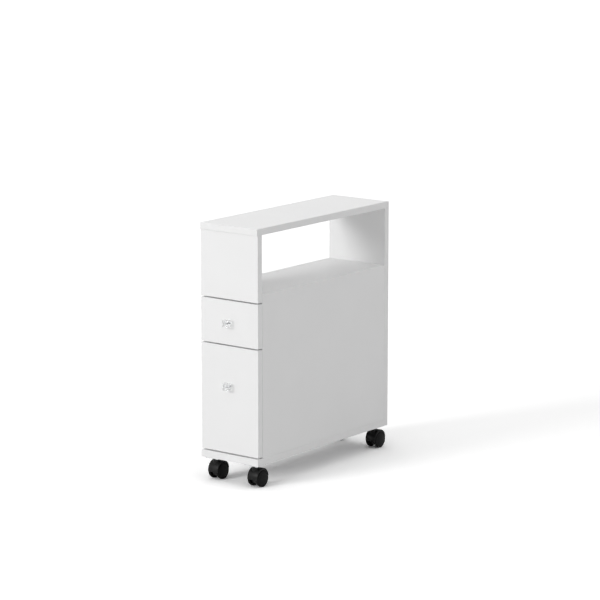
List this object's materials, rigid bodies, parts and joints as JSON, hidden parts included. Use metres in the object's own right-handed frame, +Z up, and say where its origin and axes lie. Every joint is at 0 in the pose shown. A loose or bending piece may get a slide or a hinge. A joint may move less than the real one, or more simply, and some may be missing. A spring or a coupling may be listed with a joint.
{
  "type": "bathroom cabinet",
  "caption": "Slim white rolling cabinet with an open through compartment above drawers with square clear knobs, on swivel casters.",
  "frame": {"origin": "on the floor, under the centre of the whole outline", "axes": "+Z up, the drawer fronts look along -Y and open that way, +X to the right seen from the front"},
  "size_m": [0.16, 0.509, 0.582],
  "materials": {
    "white_board": "satin white melamine on particle board",
    "hardboard": "white lacquered hardboard",
    "beech": "bare fluted beech",
    "zinc": "zinc plated",
    "chrome": "polished",
    "enamel": "white epoxy enamel",
    "nylon": "natural nylon",
    "knob_clear": "clear polished acrylic",
    "caster_black": "black moulded nylon"
  },
  "bodies": {
    "cabinet": {"top_panel": "white_board", "base_panel": "white_board", "side_panel_left": "white_board", "side_panel_right": "white_board", "back_panel": "white_board", "fixed_front_panel": "white_board", "shelf_panel": "white_board", "dowels": "beech", "cam_fittings": "zinc", "base_screws": "zinc", "wood_screws": "zinc", "runner_rail_upper_left": "enamel", "runner_rail_upper_right": "enamel", "runner_rail_lower_left": "enamel", "runner_rail_lower_right": "enamel", "caster_plates": "zinc"},
    "upper_rail_rollers": {"upper_rail_rollers": "nylon"},
    "lower_rail_rollers": {"lower_rail_rollers": "nylon"},
    "upper_drawer": {"upper_drawer_front": "white_board", "upper_drawer_side_left": "white_board", "upper_drawer_side_right": "white_board", "upper_drawer_back": "white_board", "upper_drawer_bottom": "hardboard", "upper_drawer_cam_fittings": "zinc", "upper_drawer_screws": "zinc", "upper_drawer_runner_left": "enamel", "upper_drawer_runner_right": "enamel", "upper_knob": "knob_clear", "upper_knob_collar": "chrome", "upper_knob_screw": "zinc"},
    "upper_drawer_rollers": {"upper_drawer_rollers": "nylon"},
    "lower_drawer": {"lower_drawer_front": "white_board", "lower_drawer_side_left": "white_board", "lower_drawer_side_right": "white_board", "lower_drawer_back": "white_board", "lower_drawer_bottom": "hardboard", "lower_drawer_cam_fittings": "zinc", "lower_drawer_screws": "zinc", "lower_drawer_runner_left": "enamel", "lower_drawer_runner_right": "enamel", "lower_knob": "knob_clear", "lower_knob_collar": "chrome", "lower_knob_screw": "zinc"},
    "lower_drawer_rollers": {"lower_drawer_rollers": "nylon"},
    "caster_front_left": {"caster_hood_front_left": "caster_black", "caster_axle_front_left": "zinc"},
    "caster_wheel_left_front_left": {"caster_wheel_left_front_left": "caster_black"},
    "caster_wheel_right_front_left": {"caster_wheel_right_front_left": "caster_black"},
    "caster_front_right": {"caster_hood_front_right": "caster_black", "caster_axle_front_right": "zinc"},
    "caster_wheel_left_front_right": {"caster_wheel_left_front_right": "caster_black"},
    "caster_wheel_right_front_right": {"caster_wheel_right_front_right": "caster_black"},
    "caster_rear_left": {"caster_hood_rear_left": "caster_black", "caster_axle_rear_left": "zinc"},
    "caster_wheel_left_rear_left": {"caster_wheel_left_rear_left": "caster_black"},
    "caster_wheel_right_rear_left": {"caster_wheel_right_rear_left": "caster_black"},
    "caster_rear_right": {"caster_hood_rear_right": "caster_black", "caster_axle_rear_right": "zinc"},
    "caster_wheel_left_rear_right": {"caster_wheel_left_rear_right": "caster_black"},
    "caster_wheel_right_rear_right": {"caster_wheel_right_rear_right": "caster_black"}
  },
  "joints": [
    {"name": "upper_drawer_slide", "type": "slide", "parent": "cabinet", "child": "upper_drawer", "axis": [0, -1, 0], "range_m": [0, 0.3]},
    {"name": "upper_rail_rollers_spin", "type": "hinge", "parent": "cabinet", "child": "upper_rail_rollers", "pos_m": [0, -0.21, 0.3362], "axis": [1, 0, 0], "continuous": true},
    {"name": "upper_drawer_rollers_spin", "type": "hinge", "parent": "upper_drawer", "child": "upper_drawer_rollers", "pos_m": [0, 0.1655, 0.3405], "axis": [1, 0, 0], "continuous": true},
    {"name": "lower_drawer_slide", "type": "slide", "parent": "cabinet", "child": "lower_drawer", "axis": [0, -1, 0], "range_m": [0, 0.3]},
    {"name": "lower_rail_rollers_spin", "type": "hinge", "parent": "cabinet", "child": "lower_rail_rollers", "pos_m": [0, -0.21, 0.0917], "axis": [1, 0, 0], "continuous": true},
    {"name": "lower_drawer_rollers_spin", "type": "hinge", "parent": "lower_drawer", "child": "lower_drawer_rollers", "pos_m": [0, 0.1655, 0.096], "axis": [1, 0, 0], "continuous": true},
    {"name": "caster_front_left_swivel", "type": "hinge", "parent": "cabinet", "child": "caster_front_left", "pos_m": [-0.056, -0.217, 0.045], "axis": [0, 0, 1], "continuous": true},
    {"name": "caster_wheel_left_front_left_spin", "type": "hinge", "parent": "caster_front_left", "child": "caster_wheel_left_front_left", "pos_m": [-0.056, -0.209, 0.019], "axis": [1, 0, 0], "continuous": true},
    {"name": "caster_wheel_right_front_left_spin", "type": "hinge", "parent": "caster_front_left", "child": "caster_wheel_right_front_left", "pos_m": [-0.056, -0.209, 0.019], "axis": [1, 0, 0], "continuous": true},
    {"name": "caster_front_right_swivel", "type": "hinge", "parent": "cabinet", "child": "caster_front_right", "pos_m": [0.056, -0.217, 0.045], "axis": [0, 0, 1], "continuous": true},
    {"name": "caster_wheel_left_front_right_spin", "type": "hinge", "parent": "caster_front_right", "child": "caster_wheel_left_front_right", "pos_m": [0.056, -0.209, 0.019], "axis": [1, 0, 0], "continuous": true},
    {"name": "caster_wheel_right_front_right_spin", "type": "hinge", "parent": "caster_front_right", "child": "caster_wheel_right_front_right", "pos_m": [0.056, -0.209, 0.019], "axis": [1, 0, 0], "continuous": true},
    {"name": "caster_rear_left_swivel", "type": "hinge", "parent": "cabinet", "child": "caster_rear_left", "pos_m": [-0.056, 0.226, 0.045], "axis": [0, 0, 1], "continuous": true},
    {"name": "caster_wheel_left_rear_left_spin", "type": "hinge", "parent": "caster_rear_left", "child": "caster_wheel_left_rear_left", "pos_m": [-0.056, 0.234, 0.019], "axis": [1, 0, 0], "continuous": true},
    {"name": "caster_wheel_right_rear_left_spin", "type": "hinge", "parent": "caster_rear_left", "child": "caster_wheel_right_rear_left", "pos_m": [-0.056, 0.234, 0.019], "axis": [1, 0, 0], "continuous": true},
    {"name": "caster_rear_right_swivel", "type": "hinge", "parent": "cabinet", "child": "caster_rear_right", "pos_m": [0.056, 0.226, 0.045], "axis": [0, 0, 1], "continuous": true},
    {"name": "caster_wheel_left_rear_right_spin", "type": "hinge", "parent": "caster_rear_right", "child": "caster_wheel_left_rear_right", "pos_m": [0.056, 0.234, 0.019], "axis": [1, 0, 0], "continuous": true},
    {"name": "caster_wheel_right_rear_right_spin", "type": "hinge", "parent": "caster_rear_right", "child": "caster_wheel_right_rear_right", "pos_m": [0.056, 0.234, 0.019], "axis": [1, 0, 0], "continuous": true}
  ],
  "couplings": [
    {"joint": "upper_rail_rollers_spin", "follows": "upper_drawer_slide", "rad_per_m": 125},
    {"joint": "upper_drawer_rollers_spin", "follows": "upper_drawer_slide", "rad_per_m": 125},
    {"joint": "lower_rail_rollers_spin", "follows": "lower_drawer_slide", "rad_per_m": 125},
    {"joint": "lower_drawer_rollers_spin", "follows": "lower_drawer_slide", "rad_per_m": 125}
  ]
}
